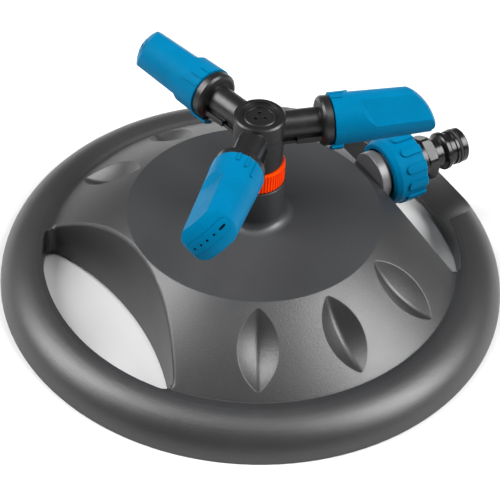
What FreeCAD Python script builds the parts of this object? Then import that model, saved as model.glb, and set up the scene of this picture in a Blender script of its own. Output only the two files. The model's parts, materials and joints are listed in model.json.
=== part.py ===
"""Three-arm rotary lawn sprinkler on a round moulded base.

Millimetres. The origin is on the rotor's axis at ground level, +Z is up and +X runs along
the hose inlet. Every physical piece is written to its own STEP file in parts/.
"""
import FreeCAD, Part

import math
import os

V = FreeCAD.Vector
ORIGIN = V(0, 0, 0)
UP = V(0, 0, 1)
OUT = V(1, 0, 0)

# --- base moulding -----------------------------------------------------------------------
BASE_R = 125.0          # outer radius of the grip ring
RING_H = 17.4           # height of the grip ring
RING_CREST_R = 106.5    # radius where the ring starts to round over
INNER_FOOT_Z = 2.5      # everything inside the outer rim stops short of the ground
OUTER_RIM_R = 121.0
JUNCTION_R = 101.0      # crease between the dome and the ring
JUNCTION_Z = 16.8
CREASE_DEPTH = 0.55     # small step down where the dome's flank meets the ring
CREASE_W = 3.2
DISC_R = 62.3           # edge of the flat top disc
DISC_Z = 43.3
DISC_RISE = 1.1         # the disc rises this much towards the post
DOME_BULGE = 1.2        # how far the dome's flank bows outwards
SHELL_T = 2.5
POST_FOOT_R = 19.2
POST_R = 13.9
POST_TOP_Z = 66.3
OPENING_RING_R = 103.8  # ring side of the two hand openings
OPENING_ARC_R = 150.0   # dome side of the openings, curved about a point outside the base
OPENING_CORNER_R = 4.5
OPENING_WALL_T = 2.4
OPENING_REAR_TOP = 63.2     # nearest reach to the axis, at the dome's top and at the ground
OPENING_REAR_FOOT = 67.2
OPENING_INLET_TOP = 66.8
LIP_R = 2.0
DENT_INNER_R = 64.6     # tips of the six recesses
DENT_OUTER_R = 98.2
DENT_DEPTH = 5.5
DENT_WIDTH = 18.4
DENT_KEEL_R = 3.0       # rounding along the bottom of a recess
DENT_ANGLES = (61, 91, 121, 241, 271, 301)
SADDLE_R = 38.2         # scoop across the ring below the hose coupling
SADDLE_FLOOR_Z = 6.1
RIB_T = 2.0
RIB_ANGLES = (90, 150, 210, 270)
RIB_FOOT_Z = 32.5
SEAM_ANGLE = 45.0       # where the revolved surfaces close, clear of every cut

# --- water pipe ----------------------------------------------------------------------------
INLET_Z = 37.8          # axis of the hose coupling
LEG_Z = 31.1            # axis of the pipe below the disc
LEG_R = 7.6
LEG_BORE_R = 5.0
RISER_R = 8.75
RISER_BORE_R = 5.56
RISER_TOP_Z = 64.1
COLLAR_START = 67.1     # the visible collar of the pipe, outside the dome
COLLAR_R = 12.7
COLLAR_END = 72.4
PIPE_NECK_R = 10.6
PIPE_END = 83.2
CLIP_GROOVE = (79.6, 81.6)
CLIP_R = 12.4
CLAMP_X = 36.0
CLAMP_Y = 13.5
SCREW_R = 1.6
SCREW_HEAD_R = 3.0

# --- hose coupling -------------------------------------------------------------------------
NUT_START = 73.2
NUT_END = 91.5
NUT_R = 17.0
NUT_GRIP_R = 18.0
NUT_MOUTH_R = 13.2
NUT_MOUTH_END = 75.2
NUT_LIP_R = 10.9
NUT_THREAD_R = 13.6
NUT_RIBS = 12
NUT_RIB_START = 81.9     # centre of the round inner end of each grip bar
NUT_RIB_W = 4.2
NUT_RIB_ROLL = -4.6
NIPPLE_END = 122.5
NIPPLE_R = 8.94
NIPPLE_BORE_R = 5.4
NIPPLE_THREAD_R = 13.1
NIPPLE_START = 84.8
NIPPLE_TAIL = (         # station and radius along the tail, from the nut outwards
    (NUT_END - 0.4, 11.4), (96.6, 11.4), (96.6, 10.2), (103.0, 10.2), (103.0, 7.7), (108.0, 7.7),
    (109.2, 9.4), (109.8, 9.8), (111.6, 9.8), (112.4, 9.2), (112.8, 8.3), (115.6, 8.3),
    (115.6, NIPPLE_R), (121.7, NIPPLE_R), (NIPPLE_END, 8.2))
NIPPLE_HEX = (97.0, 102.4)
NIPPLE_HEX_R = 12.2
NIPPLE_GROOVE = (117.0, 118.9)
NIPPLE_RING_R = 0.85
SCREEN_SLITS = (-2.4, -1.2, 0.0, 1.2, 2.4)

# --- bearing in the post -------------------------------------------------------------------
NECK_R = 10.9
NECK_TOP_Z = 71.3
NECK_BORE_R = 9.7
POST_BORE_R = 8.8
RING_NUT_R = 13.4
RING_NUT_Z = (66.5, 76.9)
RING_NUT_RIBS = 56
SPINDLE_R = 8.2
SPINDLE_BORE_R = 3.6
SPINDLE_FLANGE_R = 9.4
RUN_FIT = 0.06          # radial clearance of a running fit
SEAT_GAP = 0.05         # clearance round a fixed insert
SPINDLE_FOOT_Z = 50.1
SPINDLE_TOP_Z = 87.2

# --- rotor ---------------------------------------------------------------------------------
COLUMN_R = 12.1
COLUMN_FOOT_Z = 77.2
HUB_STEP_Z = 95.3
HUB_TOP_Z = 104.7
HUB_R = 12.3
ARM_Z = 96.5
ARM_ANGLES = {"right": -17.4, "rear": 102.6, "front": 222.6}
ARM_R = 7.0
ARM_BORE_R = 4.2
FLANGE_START = 28.6
FLANGE_END = 33.9
FLANGE_R = 12.0
SPIGOT_R = 7.0
SPIGOT_END = 48.6
PLUG_R = 8.0
PLUG_HOLE_R = 0.95
PLUG_HOLES_AT = 2.6
PLUG_HOLE_ANGLES = (67, 187, 307)
ORING_T = 0.7

# --- nozzle heads --------------------------------------------------------------------------
HEAD_START = 34.25
HEAD_END = 84.7
HEAD_R0 = 12.6          # radius at the collar and at the far end
HEAD_R1 = 11.2
HEAD_ROLL = -45.0       # turn about the arm of the slanted end's long side
HEAD_WALL = 1.9
HEAD_BACK_T = 11.8
FLAT_Y0 = 10.3          # half-thickness between the flats where they start and end
FLAT_Y1 = 9.3
FLAT_START_TOP = 47.6
FLAT_START_FOOT = 54.3
TICK_ANGLES = (221, 200, 180)
TICK_LENGTHS = (5.0, 7.0, 10.0)
TICK_W = 1.1
TICK_H = 0.45
LIP_W = 4.2
LIPS = ((HEAD_START, 12.0, 13.0, -29.0, 26.0),      # start, radii, middle angle, half-angle
        (32.9, 12.5, 14.4, -3.0, 14.0),
        (28.2, 12.5, 13.6, 76.0, 12.0))
STRIP_W = 7.0
STRIP_T = 1.5
STRIP_PROUD = 0.15
STRIP_FIT = 0.05
STRIP_ANGLES = (56.0, 1.5)
JET_ANGLES = (35.0, 25.8, 17.4, 9.4)
SLOT_ANGLE = 46.6
JET_R = 0.6
SLOT_HALF = 1.3
END_TOP = (72.6, 11.6)      # slanted end: station and height
END_MID = (81.1, 3.4)
END_FOOT = (HEAD_END, -6.5)
END_CORNER = (82.9, -10.5)
END_ABOVE = 74.0
CROWN_R = 17.5              # crowning of the end from flank to flank


def cyl(radius, start, end, axis=UP, base=ORIGIN):
    """Cylinder between two stations along an axis."""
    return Part.makeCylinder(radius, end - start, base + axis * start, axis)


def tube(outer, inner, start, end, axis=UP, base=ORIGIN):
    return cyl(outer, start, end, axis, base).cut(cyl(inner, start - 1, end + 1, axis, base))


def box(x0, x1, y0, y1, z0, z1):
    return Part.makeBox(x1 - x0, y1 - y0, z1 - z0, V(x0, y0, z0))


def fuse(shapes):
    first = shapes[0]
    return first.fuse(shapes[1:]).removeSplitter() if len(shapes) > 1 else first


def polar(radius, degrees, z=0.0):
    a = math.radians(degrees)
    return V(radius * math.cos(a), radius * math.sin(a), z)


def revolve(edges):
    """Solid of revolution about Z from edges in the XZ half-plane."""
    wire = Part.Wire(Part.__sortEdges__(edges))
    return turned(Part.Face(wire).revolve(ORIGIN, UP, 360), SEAM_ANGLE)


def lathe(points, axis=UP, base=ORIGIN):
    """Solid of revolution from (station, radius) points, closed along the axis."""
    path = [(points[0][0], 0.0)] + list(points) + [(points[-1][0], 0.0)]
    corners = [V(r, 0, s) for s, r in path]
    solid = Part.Face(Part.makePolygon(corners + corners[:1])).revolve(ORIGIN, UP, 360)
    solid.Placement = FreeCAD.Placement(base, FreeCAD.Rotation(UP, axis))
    return solid


def turned(shape, degrees, axis=UP, base=ORIGIN):
    copy = shape.copy()
    copy.rotate(base, axis, degrees)
    return copy


def line(a, b):
    return Part.LineSegment(V(a[0], 0, a[1]), V(b[0], 0, b[1])).toShape()


def arc(a, mid, b):
    return Part.Arc(V(a[0], 0, a[1]), V(mid[0], 0, mid[1]), V(b[0], 0, b[1])).toShape()


# --- base shell ----------------------------------------------------------------------------

def quarter_ellipse(crest_r, half_width, height):
    """Edge from the ring's crest round to the ground."""
    big, small = max(half_width, height), min(half_width, height)
    if half_width >= height:
        curve = Part.Ellipse(V(crest_r + big, 0, 0), V(crest_r, 0, small), V(crest_r, 0, 0))
    else:
        curve = Part.Ellipse(V(crest_r, 0, big), V(crest_r - small, 0, 0), V(crest_r, 0, 0))
    start = curve.parameter(V(crest_r + half_width, 0, 0))
    end = curve.parameter(V(crest_r, 0, height))
    return Part.Edge(curve, min(start, end), max(start, end))


def bowed(a, b, bulge):
    """Arc between two profile points, bowed outwards by the bulge."""
    dx, dz = b[0] - a[0], b[1] - a[1]
    length = math.hypot(dx, dz)
    mid = ((a[0] + b[0]) / 2 - dz / length * bulge, (a[1] + b[1]) / 2 + dx / length * bulge)
    return arc(a, mid, b)


def base_outside():
    """Solid inside the base's outer skin, standing on the ground."""
    foot_top = (POST_R + 0.5, DISC_Z + DISC_RISE + 5.0)
    foot = (POST_FOOT_R, DISC_Z + DISC_RISE)
    fillet_mid = (POST_R + 1.9, DISC_Z + DISC_RISE + 1.5)
    crest = (RING_CREST_R, RING_H)
    edges = [
        line((0, 0), (0, POST_TOP_Z)),
        line((0, POST_TOP_Z), (POST_R, POST_TOP_Z)),
        line((POST_R, POST_TOP_Z), foot_top),
        arc(foot_top, fillet_mid, foot),
        line(foot, (DISC_R, DISC_Z)),
        bowed((DISC_R, DISC_Z), (JUNCTION_R, JUNCTION_Z), DOME_BULGE),
        line((JUNCTION_R, JUNCTION_Z), crest),
        quarter_ellipse(RING_CREST_R, BASE_R - RING_CREST_R, RING_H),
        line((BASE_R, 0), (0, 0)),
    ]
    return revolve(edges)


def base_inside():
    """Solid that fills the hollow below the shell."""
    flank = math.atan2(DISC_Z - JUNCTION_Z, JUNCTION_R - DISC_R)
    shift_r = SHELL_T * math.tan(flank / 2)
    crest = (RING_CREST_R, RING_H - SHELL_T)
    knee = (JUNCTION_R - shift_r, JUNCTION_Z - SHELL_T)
    edge = (DISC_R - shift_r, DISC_Z - SHELL_T)
    edges = [
        line((0, -1), (0, DISC_Z - SHELL_T)),
        line((0, DISC_Z - SHELL_T), edge),
        bowed(edge, knee, DOME_BULGE),
        line(knee, crest),
        quarter_ellipse(RING_CREST_R, BASE_R - RING_CREST_R - SHELL_T, RING_H - SHELL_T),
        line((BASE_R - SHELL_T, 0), (BASE_R - SHELL_T, -1)),
        line((BASE_R - SHELL_T, -1), (0, -1)),
    ]
    return revolve(edges)


def crease():
    """Shallow channel round the ring's inner edge, which leaves a crisp foot to the flank."""
    share = CREASE_W / (RING_CREST_R - JUNCTION_R)
    corners = [(JUNCTION_R, JUNCTION_Z + 1), (JUNCTION_R, JUNCTION_Z),
               (JUNCTION_R + CREASE_DEPTH, JUNCTION_Z - CREASE_DEPTH),
               (JUNCTION_R + CREASE_W, JUNCTION_Z + share * (RING_H - JUNCTION_Z)),
               (JUNCTION_R + CREASE_W, JUNCTION_Z + 1)]
    return revolve([line(a, b) for a, b in zip(corners, corners[1:] + corners[:1])])


def opening_plan(reach, grow, z):
    """Closed rounded outline of a hand opening on the +X side, at height z."""
    centre = reach + OPENING_ARC_R
    arc_r = OPENING_ARC_R + grow
    ring_r = OPENING_RING_R + grow
    x_meet = (ring_r ** 2 - arc_r ** 2 + centre ** 2) / (2 * centre)
    y_meet = math.sqrt(ring_r ** 2 - x_meet ** 2)
    dome_side = Part.Arc(V(x_meet, -y_meet, z), V(centre - arc_r, 0, z), V(x_meet, y_meet, z))
    ring_side = Part.Arc(V(x_meet, y_meet, z), V(ring_r, 0, z), V(x_meet, -y_meet, z))
    face = Part.Face(Part.Wire([dome_side.toShape(), ring_side.toShape()]))
    block = face.extrude(V(0, 0, 1))
    corners = [e for e in block.Edges if abs(e.BoundBox.ZLength - 1) < 1e-3 and e.BoundBox.XLength < 1e-3]
    block = block.makeFillet(OPENING_CORNER_R + grow, corners)
    level = [f for f in block.Faces if f.BoundBox.ZLength < 1e-6]
    return [f for f in level if abs(f.BoundBox.ZMin - z) < 1e-3][0].OuterWire


def opening(reach_top, reach_foot, grow, degrees):
    """Upright cutter of one hand opening, slightly drafted on the dome side."""
    low, high = -2.0, DISC_Z + 4.0
    slope = (reach_foot - reach_top) / DISC_Z
    foot = opening_plan(reach_foot - slope * low, grow, low)
    head = opening_plan(reach_foot - slope * high, grow, high)
    return turned(Part.makeLoft([foot, head], True, True), degrees)


def dent(degrees, grow):
    """Lens-shaped cutter with a keel: two spheres crossing in the radial plane."""
    flank = math.atan2(DISC_Z - JUNCTION_Z, JUNCTION_R - DISC_R)
    inner_z = DISC_Z - (DENT_INNER_R - DISC_R) * math.tan(flank) + DOME_BULGE * 0.4
    inner = V(DENT_INNER_R, 0, inner_z)
    outer_z = JUNCTION_Z + (JUNCTION_R - DENT_OUTER_R) * math.tan(flank) + DOME_BULGE * 0.4
    outer = V(DENT_OUTER_R, 0, outer_z)
    chord = (outer - inner).Length
    keel_r = (chord ** 2 / 4 + DENT_DEPTH ** 2) / (2 * DENT_DEPTH)
    lift = keel_r - DENT_DEPTH
    half = DENT_WIDTH / 2
    offset = (keel_r ** 2 - lift ** 2 - half ** 2) / (2 * half)
    ball_r = math.hypot(keel_r, offset) + grow
    normal = V(math.sin(flank), 0, math.cos(flank))
    centre = (inner + outer) * 0.5 + normal * lift
    side = V(0, offset, 0)
    lens = Part.makeSphere(ball_r, centre + side).common(Part.makeSphere(ball_r, centre - side))
    rim = [e for e in lens.Edges if e.BoundBox.YLength < 1e-3 and e.Length > chord]
    return turned(lens.makeFillet(DENT_KEEL_R + grow, rim), degrees)


def base_shell():
    rear = (OPENING_REAR_TOP, OPENING_REAR_FOOT)
    front = (OPENING_INLET_TOP, OPENING_INLET_TOP)
    openings = [opening(rear[0], rear[1], 0, 180), opening(front[0], front[1], 0, 0)]
    walls = [opening(rear[0], rear[1], OPENING_WALL_T, 180), opening(front[0], front[1], OPENING_WALL_T, 0)]
    outside = base_outside()
    for cutter in openings:
        outside = outside.cut(cutter)
    outside = lip_rounded(outside).cut(crease())
    for degrees in DENT_ANGLES:
        outside = outside.cut(dent(degrees, 0))
    saddle = cyl(SADDLE_R, JUNCTION_R - 20, BASE_R + 20, OUT, V(0, 0, SADDLE_FLOOR_Z + SADDLE_R))
    outside = outside.cut(saddle)
    hollow = base_inside()
    for cutter in walls:
        hollow = hollow.cut(cutter)
    for degrees in DENT_ANGLES:
        hollow = hollow.cut(dent(degrees, SHELL_T))
    floor = cyl(SADDLE_R + SHELL_T, JUNCTION_R - 20, BASE_R + 20, OUT, V(0, 0, SADDLE_FLOOR_Z + SADDLE_R))
    hollow = hollow.cut(floor)
    shell = outside.cut(hollow).cut(cyl(OUTER_RIM_R, -1, INNER_FOOT_Z))
    neck = tube(NECK_R, NECK_BORE_R, POST_TOP_Z - 0.5, NECK_TOP_Z)
    ribs = [turned(box(POST_BORE_R + 1, DISC_R - 6, -RIB_T / 2, RIB_T / 2, RIB_FOOT_Z, DISC_Z - 1), a)
            for a in RIB_ANGLES]
    bosses = [cyl(3.6, LEG_Z - 1.2, DISC_Z - 1, UP, V(CLAMP_X, y, 0)) for y in (-CLAMP_Y, CLAMP_Y)]
    shell = fuse([shell, neck] + ribs + bosses)
    shell = shell.cut(cyl(POST_BORE_R, 20, POST_TOP_Z + 1))
    shell = shell.cut(cyl(NECK_BORE_R, RISER_TOP_Z, NECK_TOP_Z + 1))
    shell = shell.cut(cyl(LEG_R + SEAT_GAP, OPENING_INLET_TOP - 6, COLLAR_END, OUT, V(0, 0, LEG_Z)))
    seat = cyl(COLLAR_R + SEAT_GAP, COLLAR_START - SEAT_GAP, COLLAR_END, OUT, V(0, 0, INLET_Z))
    shell = shell.cut(seat)
    for y in (-CLAMP_Y, CLAMP_Y):
        shell = shell.cut(cyl(SCREW_R, LEG_Z - 2, LEG_Z + 8, UP, V(CLAMP_X, y, 0)))
    return shell


def lip_rounded(solid):
    """Round the long edges where the openings meet the top of the dome."""
    for side in (-1, 1):
        for edge in solid.Edges:
            bounds = edge.BoundBox
            across = bounds.YLength > 100 and bounds.XLength < 30
            if across and bounds.ZMin > JUNCTION_Z - 0.5 and side * bounds.Center.x < JUNCTION_R - 10 \
                    and side * bounds.Center.x > 0:
                solid = solid.makeFillet(LIP_R, [edge])
                break
    return solid


# --- water pipe ----------------------------------------------------------------------------
def feed_pipe():
    """Elbow from the coupling to the post: collar and neck outside, lower leg and riser inside."""
    inlet_axis = V(0, 0, INLET_Z)
    leg_axis = V(0, 0, LEG_Z)
    leg = cyl(LEG_R, 0, COLLAR_START + 0.5, OUT, leg_axis)
    riser = cyl(RISER_R, LEG_Z - LEG_R - 0.6, RISER_TOP_Z)
    riser = riser.makeFillet(2.0, [e for e in riser.Edges if e.BoundBox.ZMax < LEG_Z])
    collar = cyl(COLLAR_R, COLLAR_START, COLLAR_END, OUT, inlet_axis)
    collar = collar.makeFillet(0.5, [e for e in collar.Edges if e.BoundBox.XLength < 1e-6])
    neck = cyl(PIPE_NECK_R, COLLAR_START + 2, PIPE_END, OUT, inlet_axis)
    pipe = fuse([leg, riser, collar, neck])
    pipe = pipe.cut(cyl(LEG_BORE_R, 0, COLLAR_START + 4, OUT, leg_axis))
    pipe = pipe.cut(cyl(RISER_BORE_R, LEG_Z - LEG_BORE_R - 0.8, RISER_TOP_Z + 1))
    pipe = pipe.cut(cyl(LEG_BORE_R + 1.5, COLLAR_START + 2, PIPE_END + 1, OUT, inlet_axis))
    return pipe.cut(tube(PIPE_NECK_R + 1, PIPE_NECK_R - 1.2, CLIP_GROOVE[0], CLIP_GROOVE[1], OUT, inlet_axis))


def nut_clip_ring():
    """Split ring in the pipe's groove, which holds the coupling nut on."""
    ring = tube(CLIP_R, PIPE_NECK_R - 1.15, CLIP_GROOVE[0] + 0.1, CLIP_GROOVE[1] - 0.1, OUT, V(0, 0, INLET_Z))
    return ring.cut(box(CLIP_GROOVE[0], CLIP_GROOVE[1], -1.5, 1.5, INLET_Z, INLET_Z + 20))


def pipe_clamp():
    """Strap below the leg of the pipe."""
    strap = box(CLAMP_X - 4.5, CLAMP_X + 4.5, -CLAMP_Y - 4.5, CLAMP_Y + 4.5, LEG_Z - LEG_R - 2.6, LEG_Z - 1.3)
    strap = strap.cut(cyl(LEG_R + 0.1, 0, 60, OUT, V(0, 0, LEG_Z)))
    for side in (-1, 1):
        ear = box(CLAMP_X - 5, CLAMP_X + 5, side * (LEG_R + 7.2) - 5.2, side * (LEG_R + 7.2) + 5.2,
                  LEG_Z - LEG_R - 3, LEG_Z - 4.3)
        strap = strap.cut(ear)
        strap = strap.cut(cyl(SCREW_R + 0.2, LEG_Z - 12, LEG_Z, UP, V(CLAMP_X, side * CLAMP_Y, 0)))
    return strap


def clamp_screws():
    """Two cross-slotted pan-head screws up through the clamp into the base's bosses."""
    screws = []
    for side in (-1, 1):
        spot = V(CLAMP_X, side * CLAMP_Y, 0)
        shank = cyl(SCREW_R - 0.02, LEG_Z - 4.4, LEG_Z + 7, UP, spot)
        head = cyl(SCREW_HEAD_R, LEG_Z - 6.3, LEG_Z - 4.35, UP, spot)
        slot = box(-2.2, 2.2, -0.4, 0.4, LEG_Z - 6.5, LEG_Z - 5.5)
        cross = fuse([slot, turned(slot, 90)])
        cross.translate(spot)
        screws.append(fuse([shank, head]).cut(cross))
    return Part.makeCompound(screws)


# --- bearing in the post -------------------------------------------------------------------

def knurled_outline(outer, root, count, z):
    """Closed zigzag outline of fine ribs."""
    step = 360.0 / count
    points = []
    for i in range(count):
        for share, radius in ((-0.28, root), (-0.12, outer), (0.12, outer), (0.28, root)):
            points.append(polar(radius, (i + share) * step, z))
    return Part.makePolygon(points + points[:1])


def ring_nut():
    """Knurled nut on the post's neck; its inner lip keeps the spindle down."""
    low, high = RING_NUT_Z
    chamfer = 0.7
    body = Part.Face(knurled_outline(RING_NUT_R, RING_NUT_R - 0.45, RING_NUT_RIBS, low))
    body = body.extrude(V(0, 0, high - low))
    envelope = lathe([(low, RING_NUT_R - 0.5), (low + chamfer, RING_NUT_R + 0.2),
                      (high - chamfer, RING_NUT_R + 0.2), (high, RING_NUT_R - 0.6)])
    body = body.common(envelope)
    body = body.cut(cyl(NECK_R + 0.05, low - 1, NECK_TOP_Z + 0.1))
    return body.cut(cyl(SPINDLE_R + RUN_FIT, low, high + 1))


def shaft_seal():
    return tube(NECK_BORE_R - SEAT_GAP, RISER_BORE_R, RISER_TOP_Z + SEAT_GAP, RISER_TOP_Z + 1.6)


def thrust_washer_lower():
    return tube(NECK_BORE_R - SEAT_GAP, RISER_BORE_R + 0.3, RISER_TOP_Z + 1.65, RISER_TOP_Z + 2.85)


def thrust_washer_upper():
    return tube(NECK_BORE_R - SEAT_GAP, SPINDLE_R + RUN_FIT, NECK_TOP_Z - 1.2, NECK_TOP_Z + SEAT_GAP)


def spindle():
    """Hollow shaft: its flange sits between the washers, its top is fixed in the rotor."""
    tail_r = RISER_BORE_R - RUN_FIT
    flange_low = RISER_TOP_Z + 3.15
    flange_high = NECK_TOP_Z - 1.5
    body = lathe([(SPINDLE_FOOT_Z, tail_r), (flange_low, tail_r), (flange_low, SPINDLE_FLANGE_R),
                  (flange_high, SPINDLE_FLANGE_R), (flange_high, SPINDLE_R), (SPINDLE_TOP_Z, SPINDLE_R)])
    groove = tube(RISER_BORE_R + 1, tail_r - 2 * ORING_T, SPINDLE_FOOT_Z + 4, SPINDLE_FOOT_Z + 5.8)
    return body.cut(cyl(SPINDLE_BORE_R, SPINDLE_FOOT_Z - 1, SPINDLE_TOP_Z + 1)).cut(groove)


def spindle_o_ring():
    middle = V(0, 0, SPINDLE_FOOT_Z + 4.9)
    return Part.makeTorus(RISER_BORE_R - RUN_FIT - ORING_T, ORING_T - 0.02, middle)


# --- rotor ---------------------------------------------------------------------------------

def arm_frame(shape, degrees, roll=0.0):
    """Move a shape built along +X at the origin to an arm."""
    moved = turned(shape, roll, OUT)
    moved.translate(V(0, 0, ARM_Z))
    return turned(moved, degrees)


def arm_outside():
    """Tube, flange, spigot and the stiffening webs of one arm, along +X."""
    barrel = cyl(ARM_R, 0, SPIGOT_END, OUT)
    shoulder = lathe([(FLANGE_START, FLANGE_R - 2.0), (FLANGE_START + 0.5, FLANGE_R - 0.8),
                      (FLANGE_START + 1.6, FLANGE_R), (FLANGE_END - 0.4, FLANGE_R),
                      (FLANGE_END, FLANGE_R - 0.4)], OUT)
    barb = lathe([(HEAD_START + HEAD_BACK_T + 0.3, SPIGOT_R + 0.9), (SPIGOT_END - 0.8, SPIGOT_R + 0.4),
                  (SPIGOT_END, SPIGOT_R - 0.6)], OUT)
    web = box(HUB_R - 4, FLANGE_START + 1, -1.4, 1.4, -ARM_R - 3.6, 0)
    shelf = box(HUB_R - 4, FLANGE_START + 0.5, -7.6, 7.6, -5.4, -4.0)
    pointer = box(FLANGE_START - 12, FLANGE_END - 0.8, 6.4, 8.4, -5.4, -2.6)
    return fuse([barrel, shoulder, barb, web, shelf, pointer, pointer.mirror(ORIGIN, V(0, 1, 0))])


def arm_inside():
    """Water way, O-ring groove and the slits of the snap end, along +X."""
    way = cyl(ARM_BORE_R, 0, SPIGOT_END + 1, OUT)
    groove = tube(SPIGOT_R + 2, SPIGOT_R - 2 * ORING_T, FLANGE_END + 3.4, FLANGE_END + 5.2, OUT)
    slits = box(FLANGE_END + 9, SPIGOT_END + 1, -0.7, 0.7, -SPIGOT_R - 2, SPIGOT_R + 2)
    return way, groove, slits


def rotor_hub():
    """Column, hub and three arms in one moulding."""
    column = lathe([(COLUMN_FOOT_Z, COLUMN_R - 0.4), (COLUMN_FOOT_Z + 0.4, COLUMN_R),
                    (HUB_STEP_Z - 0.4, COLUMN_R), (HUB_STEP_Z, HUB_R),
                    (HUB_TOP_Z - 0.8, HUB_R), (HUB_TOP_Z, HUB_R - 0.8)])
    hub = fuse([column] + [arm_frame(arm_outside(), a) for a in ARM_ANGLES.values()])
    for degrees in ARM_ANGLES.values():
        for cutter in arm_inside():
            hub = hub.cut(arm_frame(cutter, degrees))
    hub = hub.cut(cyl(SPINDLE_R + 0.03, COLUMN_FOOT_Z - 1, SPINDLE_TOP_Z + SEAT_GAP))
    hub = hub.cut(cyl(SPINDLE_R - 2.2, COLUMN_FOOT_Z, HUB_TOP_Z - 3.2))
    hub = hub.cut(cyl(PLUG_R + 0.05, HUB_TOP_Z - 3.2, HUB_TOP_Z + 1))
    return hub.cut(tube(PLUG_R + 1.3, PLUG_R, HUB_TOP_Z - 0.7, HUB_TOP_Z + 1))


def hub_plug():
    """Plug in the hub's top, with three blind holes for a pin spanner."""
    plug = lathe([(HUB_TOP_Z - 3.15, PLUG_R), (HUB_TOP_Z - 1.0, PLUG_R), (HUB_TOP_Z - 0.5, PLUG_R - 0.5)])
    plug = plug.cut(cyl(PLUG_R - 1.8, HUB_TOP_Z - 1.1, HUB_TOP_Z))
    for degrees in PLUG_HOLE_ANGLES:
        plug = plug.cut(cyl(PLUG_HOLE_R, HUB_TOP_Z - 2.3, HUB_TOP_Z, UP, polar(PLUG_HOLES_AT, degrees)))
    return plug


def arm_o_ring():
    return Part.makeTorus(SPIGOT_R - ORING_T, ORING_T - 0.02, V(FLANGE_END + 4.3, 0, 0), OUT)


# --- nozzle heads --------------------------------------------------------------------------
# Built along +X. The slanted end is short at +Z and long at -Z; the flats face +Y and -Y.


def polar_xz(radius, degrees):
    a = math.radians(degrees)
    return V(radius * math.cos(a), 0, radius * math.sin(a))


def polar_yz(radius, degrees):
    a = math.radians(degrees)
    return V(0, radius * math.sin(a), radius * math.cos(a))


def end_arc(shrink):
    """The convex slanted end as an arc, moved inwards by shrink."""
    full = arc(END_TOP, END_MID, END_FOOT).Curve
    centre, radius = full.Center, full.Radius - shrink
    points = []
    for p in (END_TOP, END_MID, END_FOOT):
        ray = V(p[0], 0, p[1]) - centre
        points.append(centre + ray * (radius / ray.Length))
    return points, centre, radius


def end_block(shrink):
    """Everything behind the slanted end, which is crowned from flank to flank."""
    (top, mid, foot), centre, radius = end_arc(shrink)
    base = V(END_MID[0], 0, END_MID[1])
    chord = V(END_FOOT[0] - END_TOP[0], 0, END_FOOT[1] - END_TOP[1]).normalize()
    outwards = V(-chord.z, 0, chord.x)
    axis = base - outwards * CROWN_R
    corner = V(END_CORNER[0] - shrink, 0, END_CORNER[1])
    upper = centre + polar_xz(radius, END_ABOVE)
    toe = corner + V(-1.5, 0, -4)
    above = upper - chord * 40.0
    axis_top = axis + chord * ((above - axis).dot(chord))
    axis_foot = axis + chord * ((toe - axis).dot(chord))
    edges = [
        Part.Arc(upper, mid, foot).toShape(),
        Part.Arc(foot, V(foot.x - 0.25, 0, foot.z - 2.5), corner).toShape(),
        Part.LineSegment(corner, toe).toShape(),
        Part.LineSegment(toe, axis_foot).toShape(),
        Part.LineSegment(axis_foot, axis_top).toShape(),
        Part.LineSegment(axis_top, above).toShape(),
        Part.LineSegment(above, upper).toShape(),
    ]
    barrel = Part.Face(Part.Wire(edges)).revolve(axis, chord, 360)
    reach = 60.0
    corners = [axis - chord * reach, axis + chord * reach, V(-30, 0, -reach), V(-30, 0, reach)]
    back = Part.Face(Part.makePolygon(corners + corners[:1])).extrude(V(0, reach, 0))
    back.translate(V(0, -reach / 2, 0))
    return barrel.fuse(back)


def flat_cutter(side, shrink):
    """Removes one flank of the head, with a slanted ramp where the flat starts."""
    slope = (FLAT_Y0 - FLAT_Y1) / (HEAD_END - FLAT_START_TOP)
    y0 = FLAT_Y0 - shrink
    top_s = FLAT_START_TOP + shrink * 0.6
    far = HEAD_END + 10
    lift = 16.0
    shift = (FLAT_START_FOOT - FLAT_START_TOP) / 14.0
    start = top_s - shift * (lift - 7)
    run = shift * 2 * lift
    corners = [V(start, side * y0, lift), V(far, side * (y0 - slope * (far - top_s)), lift),
               V(far, side * 22, lift), V(start - 1.3 * (22 - y0), side * 22, lift)]
    face = Part.Face(Part.makePolygon(corners + corners[:1]))
    return face.extrude(V(run, -side * slope * run, -2 * lift))


def head_solid(shrink, start):
    """Outer form of a nozzle head, moved inwards by shrink, from a given station on."""
    taper = (HEAD_R0 - HEAD_R1) / (HEAD_END - HEAD_START)
    r_start = HEAD_R0 - taper * (start - HEAD_START) - shrink
    body = Part.makeCone(r_start, HEAD_R1 - shrink, HEAD_END - start, V(start, 0, 0), OUT)
    body = body.common(end_block(shrink))
    return body.cut(flat_cutter(1, shrink)).cut(flat_cutter(-1, shrink))


def strip_solid(proud, depth, grow):
    """Band along the slanted end that holds the jets."""
    (_, _, _), centre, radius = end_arc(0)
    outer, inner = radius + proud, radius - depth
    start, end = STRIP_ANGLES[0] + grow * 1.2, STRIP_ANGLES[1] - grow * 1.2

    def at(r, degrees):
        return centre + polar_xz(r, degrees)

    mid = (start + end) / 2
    edges = [Part.Arc(at(outer, start), at(outer, mid), at(outer, end)).toShape(),
             Part.LineSegment(at(outer, end), at(inner, end)).toShape(),
             Part.Arc(at(inner, end), at(inner, mid), at(inner, start)).toShape(),
             Part.LineSegment(at(inner, start), at(outer, start)).toShape()]
    half = STRIP_W / 2 + grow
    band = Part.Face(Part.Wire(edges)).extrude(V(0, 2 * half, 0))
    band.translate(V(0, -half, 0))
    ends = [e for e in band.Edges if e.BoundBox.YLength < 1e-3 and e.Length < (proud + depth) * 1.01]
    return band.makeFillet(half * 0.8, ends)


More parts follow.
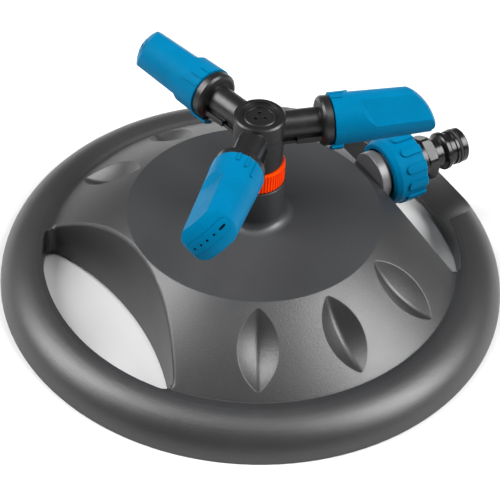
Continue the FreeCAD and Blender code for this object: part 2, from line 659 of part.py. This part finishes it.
def jet_strip():
    """Insert with a spray slot and four jets, each square to the curved surface."""
    strip = strip_solid(1.0, STRIP_T, 0).common(end_block(-STRIP_PROUD))
    _, centre, radius = end_arc(0)
    for degrees in JET_ANGLES:
        strip = strip.cut(jet(centre, radius, degrees, 0.0))
    return strip.cut(jet(centre, radius, SLOT_ANGLE, SLOT_HALF))


def jet(centre, radius, degrees, half_slot):
    """Hole through the strip, stretched into a slot where half_slot isn't nil."""
    aim = polar_xz(1, degrees)
    along = polar_xz(1, degrees + 90)
    base = centre + aim * (radius - 4)
    cutters = [Part.makeCylinder(JET_R, 6, base + along * k, aim) for k in {-half_slot, half_slot}]
    if half_slot > 0:
        web = Part.makeBox(6, 2 * JET_R, 2 * half_slot, V(0, -JET_R, -half_slot))
        web.rotate(ORIGIN, V(0, 1, 0), -degrees)
        web.translate(base)
        cutters.append(web)
    return fuse(cutters)


def stop_lip(start, inner, outer, middle, half_angle):
    """Sector of a ring on the collar; one that starts before the seam hooks over the arm's flange."""
    ring = tube(outer, inner, start, HEAD_START + LIP_W, OUT)
    reach = 40.0
    wedge = [V(0, 0, 0)]
    for k in (-1, 0, 1):
        a = math.radians(k * half_angle)
        wedge.append(V(0, reach * math.sin(a), -reach * math.cos(a)))
    sector = Part.Face(Part.makePolygon(wedge + wedge[:1])).extrude(V(100, 0, 0))
    return turned(ring.common(sector), middle, OUT)


def nozzle_head():
    """Hollow head that turns on the arm's spigot."""
    head = head_solid(0, HEAD_START)
    ticks = []
    for degrees, length in zip(TICK_ANGLES, TICK_LENGTHS):
        tick = box(HEAD_START, HEAD_START + length, -TICK_W / 2, TICK_W / 2, -HEAD_R0 - TICK_H, -HEAD_R0 + 2)
        ticks.append(turned(tick, degrees, OUT))
    head = fuse([head] + [stop_lip(*lip) for lip in LIPS] + ticks)
    head = head.cut(head_solid(HEAD_WALL, HEAD_START + HEAD_BACK_T))
    head = head.cut(cyl(SPIGOT_R + RUN_FIT, HEAD_START - 1, HEAD_START + HEAD_BACK_T + 1, OUT))
    pocket = strip_solid(3.0, STRIP_T + STRIP_FIT, STRIP_FIT)
    return head.cut(pocket).cut(strip_solid(0.1, 5.0, -1.2))


# --- hose coupling -------------------------------------------------------------------------

def coupling_nut():
    """Swivel nut with raised grip bars."""
    axis = V(0, 0, INLET_Z)
    body = lathe([(NUT_START, NUT_R - 1.7), (NUT_START + 0.6, NUT_R - 1.1), (NUT_START + 3.2, NUT_R),
                  (NUT_END - 0.6, NUT_R), (NUT_END, NUT_R - 0.6)], OUT, axis)
    bars = []
    for i in range(NUT_RIBS):
        bar = box(NUT_RIB_START, NUT_END, -NUT_RIB_W / 2, NUT_RIB_W / 2, NUT_R - 3, NUT_GRIP_R)
        end = cyl(NUT_RIB_W / 2, NUT_R - 3, NUT_GRIP_R, UP, V(NUT_RIB_START, 0, 0))
        bar = turned(fuse([bar, end]), NUT_RIB_ROLL + i * 360.0 / NUT_RIBS, OUT)
        bar.translate(axis)
        bars.append(bar)
    rim = lathe([(NUT_START, NUT_GRIP_R), (NUT_END - 0.7, NUT_GRIP_R),
                 (NUT_END, NUT_GRIP_R - 0.7)], OUT, axis)
    body = fuse([body] + bars).common(rim)
    body = body.cut(cyl(NUT_MOUTH_R, NUT_START - 1, NUT_MOUTH_END, OUT, axis))
    body = body.cut(cyl(NUT_LIP_R, NUT_START, NUT_END, OUT, axis))
    return body.cut(cyl(NUT_THREAD_R, CLIP_GROOVE[0] - 0.2, NUT_END + 1, OUT, axis))


def hose_nipple():
    """Threaded quick-connect tail that the hose's connector pushes over."""
    axis = V(0, 0, INLET_Z)
    thread = [(NIPPLE_START, NIPPLE_THREAD_R), (NIPPLE_TAIL[0][0], NIPPLE_THREAD_R)]
    body = lathe(thread + list(NIPPLE_TAIL), OUT, axis)
    low, high = NIPPLE_HEX
    corners = [axis + V(low, 0, 0) + polar_yz(NIPPLE_HEX_R, 60 * i) for i in range(7)]
    flange = Part.Face(Part.makePolygon(corners)).extrude(OUT * (high - low))
    rounded = lathe([(low - 1, 11.4), (low, 11.8), (high - 1, 11.8), (high, 11.0)], OUT, axis)
    body = fuse([body, flange.common(rounded)])
    body = body.cut(cyl(NIPPLE_BORE_R, NIPPLE_START - 1, NIPPLE_END + 1, OUT, axis))
    body = body.cut(cyl(NIPPLE_BORE_R + 2, NIPPLE_START - 1, NIPPLE_START + 4, OUT, axis))
    return body.cut(tube(NIPPLE_R + 1, NIPPLE_R - 1.5, NIPPLE_GROOVE[0], NIPPLE_GROOVE[1], OUT, axis))


def nipple_o_ring():
    middle = sum(NIPPLE_GROOVE) / 2
    return Part.makeTorus(NIPPLE_R - 0.6, NIPPLE_RING_R, V(middle, 0, INLET_Z), OUT)


def inlet_washer():
    return tube(CLIP_R - 0.2, 7.5, PIPE_END + 0.05, PIPE_END + 1.3, OUT, V(0, 0, INLET_Z))


def filter_screen():
    """Slotted dirt screen in the mouth of the nipple."""
    axis = V(0, 0, INLET_Z)
    start = PIPE_END + 1.65
    cup = tube(7.3, 4.9, start, start + 0.9, OUT, axis)
    cap = lathe([(start, 5.2), (start + 3.6, 4.6), (start + 4.2, 3.8)], OUT, axis)
    cap = cap.cut(lathe([(start - 1, 4.5), (start + 3.0, 4.0), (start + 3.5, 3.2)], OUT, axis))
    screen = fuse([cup, cap])
    for k in SCREEN_SLITS:
        screen = screen.cut(box(start + 1.3, start + 6, k - 0.3, k + 0.3, INLET_Z - 3.0, INLET_Z + 3.0))
    return screen


def build():
    nodes = {
        "base_shell": base_shell(),
        "feed_pipe": feed_pipe(),
        "pipe_clamp": pipe_clamp(),
        "clamp_screws": clamp_screws(),
        "nut_clip_ring": nut_clip_ring(),
        "inlet_washer": inlet_washer(),
        "ring_nut": ring_nut(),
        "shaft_seal": shaft_seal(),
        "thrust_washer_lower": thrust_washer_lower(),
        "thrust_washer_upper": thrust_washer_upper(),
        "spindle": spindle(),
        "spindle_o_ring": spindle_o_ring(),
        "rotor_hub": rotor_hub(),
        "hub_plug": hub_plug(),
        "coupling_nut": coupling_nut(),
        "hose_nipple": hose_nipple(),
        "nipple_o_ring": nipple_o_ring(),
        "filter_screen": filter_screen(),
    }
    for name, degrees in ARM_ANGLES.items():
        nodes["arm_o_ring_" + name] = arm_frame(arm_o_ring(), degrees)
        nodes["nozzle_head_" + name] = arm_frame(nozzle_head(), degrees, HEAD_ROLL)
        nodes["jet_strip_" + name] = arm_frame(jet_strip(), degrees, HEAD_ROLL)
    return nodes


os.makedirs("parts", exist_ok=True)
for node, shape in build().items():
    shape.exportStep("parts/" + node + ".step")
    print(node, "solids", len(shape.Solids), "volume", round(shape.Volume), "valid", shape.isValid())
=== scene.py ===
"""Looks of the three-arm rotary sprinkler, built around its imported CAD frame."""

import json
import math

import bpy
from mathutils import Matrix, Vector

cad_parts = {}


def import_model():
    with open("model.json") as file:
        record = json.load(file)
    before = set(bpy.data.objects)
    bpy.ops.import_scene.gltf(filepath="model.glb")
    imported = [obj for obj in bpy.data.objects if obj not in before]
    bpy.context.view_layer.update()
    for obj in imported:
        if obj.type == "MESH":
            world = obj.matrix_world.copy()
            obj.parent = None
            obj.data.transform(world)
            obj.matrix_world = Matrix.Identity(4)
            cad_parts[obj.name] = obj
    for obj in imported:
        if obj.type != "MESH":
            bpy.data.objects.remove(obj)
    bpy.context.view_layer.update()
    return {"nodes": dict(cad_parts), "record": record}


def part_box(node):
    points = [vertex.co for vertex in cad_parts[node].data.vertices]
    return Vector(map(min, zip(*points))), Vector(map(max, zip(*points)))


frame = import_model()
nodes = frame["nodes"]

MM = 0.001
BASE_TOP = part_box("base_shell")[1].z

# --- the base: where its finish changes, and how rough it is ------------------------------------

DISC_EDGE = 62.3 * MM               # radius of the flat disc
EDGE_BLEND = 0.2 * MM               # the finish changes over this much either side of it
DISC_FOOT = (0.52 * BASE_TOP, 0.54 * BASE_TOP)      # below this height all is flank or ring
POST_FOOT = (0.625 * BASE_TOP, 0.645 * BASE_TOP)    # above this height all is post
MATT = 0.6                          # roughness of the disc
SATIN = 0.38                        # roughness of the ring, the flank and the post

# --- camera and lights -------------------------------------------------------------------------

CAMERA_SIDE = -122.7                # azimuth, elevation and roll of the camera, in degrees
CAMERA_RISE = 44.01
CAMERA_ROLL = 3.22
CAMERA_REACH = 1.0586               # its distance from the target, in metres
CAMERA_TARGET = (0.0, 0.0, 0.001956)
CAMERA_LENS = 152.04                # focal length and sensor width, in millimetres
CAMERA_SENSOR = 36.0
CAMERA_SHIFT = (-0.0024, 0.0448)
CAMERA_CLIP = 50.0                  # farther than the floor's corners
LIGHT_AIM = (0.0, 0.0, 0.03)
LIGHTS = (      # name, turn from the camera, elevation, distance, width, height, watts
    ("left", -92, 45, 2.6, 1.2, 2.3, 115.0),
    ("right", 80, 43, 2.6, 1.2, 2.1, 125.0),
    ("overhead", 0, 82, 2.4, 0.8, 0.8, 9.0),
)
AMBIENT = 0.2
FLOOR_HALF = 6.0                    # half the floor's side, in metres
FLOOR_GAP = 0.2 * MM                # the floor lies this far below the base


# --- small helpers for node materials ----------------------------------------------------------

def linear(red, green, blue):
    """Linear colour of 0-255 display values."""
    def one(value):
        value /= 255.0
        return value / 12.92 if value <= 0.04045 else ((value + 0.055) / 1.055) ** 2.4
    return (one(red), one(green), one(blue), 1.0)


class Shader:
    """A principled node material, with short calls for the nodes used often."""

    def __init__(self, name, **sockets):
        self.material = bpy.data.materials.new(name)
        self.material.use_nodes = True
        self.tree = self.material.node_tree
        self.tree.nodes.clear()
        output = self.tree.nodes.new("ShaderNodeOutputMaterial")
        self.bsdf = self.tree.nodes.new("ShaderNodeBsdfPrincipled")
        self.tree.links.new(self.bsdf.outputs["BSDF"], output.inputs["Surface"])
        self.coords = self.tree.nodes.new("ShaderNodeTexCoord").outputs["Object"]
        for socket, value in sockets.items():
            self.bsdf.inputs[socket.replace("_", " ")].default_value = value

    def node(self, kind, inputs, **settings):
        made = self.tree.nodes.new(kind)
        for key, value in settings.items():
            setattr(made, key, value)
        for key, value in inputs.items():
            if isinstance(value, bpy.types.NodeSocket):
                self.tree.links.new(value, made.inputs[key])
            else:
                made.inputs[key].default_value = value
        return made

    def noise(self, size_mm, detail=2.0, roughness=0.5, distortion=0.0):
        """Noise whose features are about size_mm across."""
        made = self.node("ShaderNodeTexNoise", {
            "Vector": self.coords, "Scale": 1.0 / (size_mm * MM), "Detail": detail,
            "Roughness": roughness, "Distortion": distortion})
        return made.outputs["Fac"]

    def spread(self, value, low, high, from_low=0.3, from_high=0.7):
        """The value's range from_low to from_high, stretched to low to high."""
        made = self.node("ShaderNodeMapRange", {
            "Value": value, "From Min": from_low, "From Max": from_high, "To Min": low, "To Max": high})
        return made.outputs["Result"]

    def math(self, operation, a, b):
        """One arithmetic step between two values."""
        return self.node("ShaderNodeMath", {0: a, 1: b}, operation=operation).outputs[0]

    def mix(self, share, a, b):
        """Colour a, giving way to colour b as the share goes from 0 to 1."""
        return self.node("ShaderNodeMix", {"Factor": share, 6: a, 7: b}, data_type="RGBA").outputs[2]

    def mottled(self, share, colour, shade):
        """Two display colours, mixed by a noise."""
        return self.mix(self.spread(share, 0.0, 1.0), linear(*colour), linear(*shade))

    def rounded(self, radius_mm):
        """Normals that round every edge a little."""
        return self.node("ShaderNodeBevel", {"Radius": radius_mm * MM}, samples=4).outputs["Normal"]

    def bump(self, height, depth_mm, normal=None):
        """Normals that follow this height, on top of any given before."""
        inputs = {"Height": height, "Distance": depth_mm * MM}
        if normal is not None:
            inputs["Normal"] = normal
        return self.node("ShaderNodeBump", inputs).outputs["Normal"]

    def to(self, socket, value):
        """Feed this value to a socket of the principled shader."""
        self.tree.links.new(value, self.bsdf.inputs[socket])


# --- materials ---------------------------------------------------------------------------------

SPECK_SHADE = 0.82                  # specks in a plastic are this share of its darker colour
WEAR = 0.05                         # a plastic's roughness varies this much either way


def plastic(name, colour, shade, rough, grain_mm=0.5, grain_depth_mm=0.012, edge_mm=0.35,
            flow_mm=14.0, **sockets):
    """Injection-moulded plastic: grained skin, faint flow marks and softly rounded edges."""
    made = Shader(name, **sockets)
    flow = made.noise(flow_mm, detail=3.0, roughness=0.55, distortion=0.6)
    speck = made.noise(0.7, roughness=0.6)
    specked = made.spread(speck, 0.0, 0.22, from_low=0.45, from_high=0.75)
    dark = linear(*(SPECK_SHADE * channel for channel in shade))
    made.to("Base Color", made.mix(specked, made.mottled(flow, colour, shade), dark))
    wear = made.noise(6.0, detail=4.0, roughness=0.6)
    made.to("Roughness", made.spread(wear, rough - WEAR, rough + WEAR))
    grain = made.noise(grain_mm, detail=3.0, roughness=0.6)
    skin = made.bump(grain, grain_depth_mm, made.rounded(edge_mm))
    made.to("Normal", made.bump(flow, 0.03, skin))
    return made


def base_plastic():
    """Graphite plastic: grained on ring and flank, matt on the flat disc, smoother on the post."""
    made = Shader("base_graphite", Specular_IOR_Level=0.6)
    split = made.node("ShaderNodeSeparateXYZ", {"Vector": made.coords}).outputs
    flat = made.node("ShaderNodeCombineXYZ", {"X": split["X"], "Y": split["Y"]}).outputs[0]
    reach = made.node("ShaderNodeVectorMath", {0: flat}, operation="LENGTH").outputs["Value"]
    outer = made.spread(reach, 0.0, 1.0, DISC_EDGE - EDGE_BLEND, DISC_EDGE + EDGE_BLEND)
    low = made.spread(split["Z"], 1.0, 0.0, *DISC_FOOT)
    grained = made.math("MAXIMUM", outer, low)
    post = made.spread(split["Z"], 0.0, 1.0, *POST_FOOT)
    flow = made.noise(34.0, detail=3.0, roughness=0.55, distortion=0.8)
    speck = made.noise(0.8, detail=3.0, roughness=0.65)
    on_flank = made.spread(speck, 0.0, 0.5, from_low=0.42, from_high=0.72)
    flank = made.mix(on_flank, made.mottled(flow, (38, 38, 39), (34, 34, 35)), linear(24, 24, 25))
    on_disc = made.spread(speck, 0.0, 0.2, from_low=0.45, from_high=0.75)
    disc = made.mix(on_disc, made.mottled(flow, (35, 36, 38), (31, 32, 34)), linear(24, 25, 27))
    made.to("Base Color", made.mix(grained, disc, flank))
    smear = made.spread(made.noise(9.0, detail=4.0, roughness=0.6), -0.015, 0.015)
    satin = made.math("MAXIMUM", grained, post)
    rough = made.spread(satin, MATT, SATIN, from_low=0.0, from_high=1.0)
    made.to("Roughness", made.math("ADD", rough, smear))
    depth = made.spread(grained, 0.25, 1.0, from_low=0.0, from_high=1.0)
    grain = made.math("MULTIPLY", made.noise(0.6, detail=3.0, roughness=0.65), depth)
    skin = made.bump(grain, 0.1, made.rounded(0.9))
    made.to("Normal", made.bump(flow, 0.02, skin))
    return made


def rubber():
    """Black seal rubber with a faint bloom."""
    made = Shader("seal_rubber", Specular_IOR_Level=0.35)
    bloom = made.noise(2.5, detail=4.0, roughness=0.6)
    made.to("Base Color", made.mottled(bloom, (26, 26, 27), (38, 38, 39)))
    made.to("Roughness", made.spread(bloom, 0.42, 0.58))
    made.to("Normal", made.bump(made.noise(0.3), 0.01))
    return made


def steel():
    """Zinc-plated steel with turning marks."""
    made = Shader("zinc_steel", Metallic=1.0)
    fine = made.noise(0.25, detail=3.0, roughness=0.6)
    made.to("Base Color", made.mottled(fine, (196, 198, 200), (168, 170, 174)))
    made.to("Roughness", made.spread(made.noise(1.2, detail=3.0), 0.24, 0.4))
    made.to("Normal", made.bump(fine, 0.008, made.rounded(0.1)))
    return made


# --- finishes of the CAD nodes -----------------------------------------------------------------

FINISH = {
    "base_plastic": base_plastic(),
    "black_plastic": plastic(
        "satin_black", (17, 17, 18), (12, 12, 13), rough=0.36, grain_depth_mm=0.014,
        Specular_IOR_Level=0.42),
    "gloss_black": plastic(
        "gloss_black", (15, 15, 17), (11, 11, 12), rough=0.24, grain_mm=0.6, flow_mm=6.0,
        Specular_IOR_Level=0.34),
    "blue_plastic": plastic(
        "bright_blue", (0, 94, 132), (0, 88, 124), rough=0.48, edge_mm=0.5,
        Specular_IOR_Level=0.1, Specular_Tint=(0.01, 0.5, 0.7, 1.0)),
    "orange_plastic": plastic(
        "orange", (238, 62, 0), (226, 56, 0), rough=0.4, grain_mm=0.4, grain_depth_mm=0.01,
        edge_mm=0.2, Specular_IOR_Level=0.25, Specular_Tint=(1.0, 0.35, 0.02, 1.0)),
    "pipe_grey": plastic(
        "pipe_grey", (80, 80, 82), (70, 70, 72), rough=0.42, grain_mm=0.6, grain_depth_mm=0.02,
        edge_mm=0.5, Specular_IOR_Level=0.8),
    "acetal": plastic(
        "natural_acetal", (222, 220, 212), (212, 210, 202), rough=0.3, grain_mm=0.6,
        grain_depth_mm=0.008, edge_mm=0.2),
    "seal_rubber": rubber(),
    "screw_steel": steel(),
}
FINISH_OF_NODE = {"hose_nipple": "gloss_black", "feed_pipe": "pipe_grey"}
SLOT_OF = {part["node"]: part["material_slot"] for part in frame["record"]["subparts"]}


def dress(obj, shader):
    """Give every face of a CAD node this finish."""
    obj.data.materials.clear()
    obj.data.materials.append(shader.material)
    for polygon in obj.data.polygons:
        polygon.material_index = 0


for name, obj in nodes.items():
    dress(obj, FINISH[FINISH_OF_NODE.get(name, SLOT_OF[name])])


# --- floor, light and camera -------------------------------------------------------------------

def placed(name, data):
    """A new object of this data, in the scene."""
    obj = bpy.data.objects.new(name, data)
    bpy.context.scene.collection.objects.link(obj)
    return obj


def floor():
    """Pale paper floor."""
    mesh = bpy.data.meshes.new("floor")
    corners = [(x * FLOOR_HALF, y * FLOOR_HALF, 0) for x, y in ((-1, -1), (1, -1), (1, 1), (-1, 1))]
    mesh.from_pydata(corners, [], [(0, 1, 2, 3)])
    obj = placed("floor", mesh)
    obj.location.z = -FLOOR_GAP
    made = Shader("pale_floor", Roughness=0.9)
    paper = made.noise(60.0, 3.0, 0.5)
    made.to("Base Color", made.mottled(paper, (200, 200, 200), (197, 197, 197)))
    mesh.materials.append(made.material)


def direction(azimuth, elevation):
    """Unit vector from the object towards this azimuth and elevation, in degrees."""
    turn, rise = math.radians(azimuth), math.radians(elevation)
    return Vector((math.cos(rise) * math.cos(turn), math.cos(rise) * math.sin(turn), math.sin(rise)))


def softbox(name, turn, elevation, distance, width, height, power):
    """A soft rectangular light, aimed at the middle of the object."""
    light = bpy.data.lights.new(name, "AREA")
    light.shape = "RECTANGLE"
    light.size = width
    light.size_y = height
    light.energy = power
    obj = placed(name, light)
    obj.location = direction(CAMERA_SIDE + turn, elevation) * distance
    obj.rotation_euler = (Vector(LIGHT_AIM) - obj.location).to_track_quat("-Z", "Y").to_euler()


def world():
    """Even white light from all round."""
    made = bpy.data.worlds.new("studio")
    bpy.context.scene.world = made
    made.use_nodes = True
    background = made.node_tree.nodes["Background"]
    background.inputs["Color"].default_value = (1.0, 1.0, 1.0, 1.0)
    background.inputs["Strength"].default_value = AMBIENT


def camera():
    """The camera looks down on the object from the side of the front arm."""
    roll = math.radians(CAMERA_ROLL)
    towards = direction(CAMERA_SIDE, CAMERA_RISE)
    right = Vector((0, 0, 1)).cross(towards).normalized()
    up = towards.cross(right)
    across = right * math.cos(roll) + up * math.sin(roll)
    upwards = up * math.cos(roll) - right * math.sin(roll)
    data = bpy.data.cameras.new("camera")
    data.lens = CAMERA_LENS
    data.sensor_width = CAMERA_SENSOR
    data.shift_x, data.shift_y = CAMERA_SHIFT
    data.clip_end = CAMERA_CLIP
    obj = placed("camera", data)
    place = Vector(CAMERA_TARGET) + towards * CAMERA_REACH
    facing = Matrix((across, upwards, towards)).transposed().to_4x4()
    obj.matrix_world = Matrix.Translation(place) @ facing
    bpy.context.scene.camera = obj


floor()
world()
for light_row in LIGHTS:
    softbox(*light_row)
camera()
bpy.context.scene.view_settings.view_transform = "Standard"
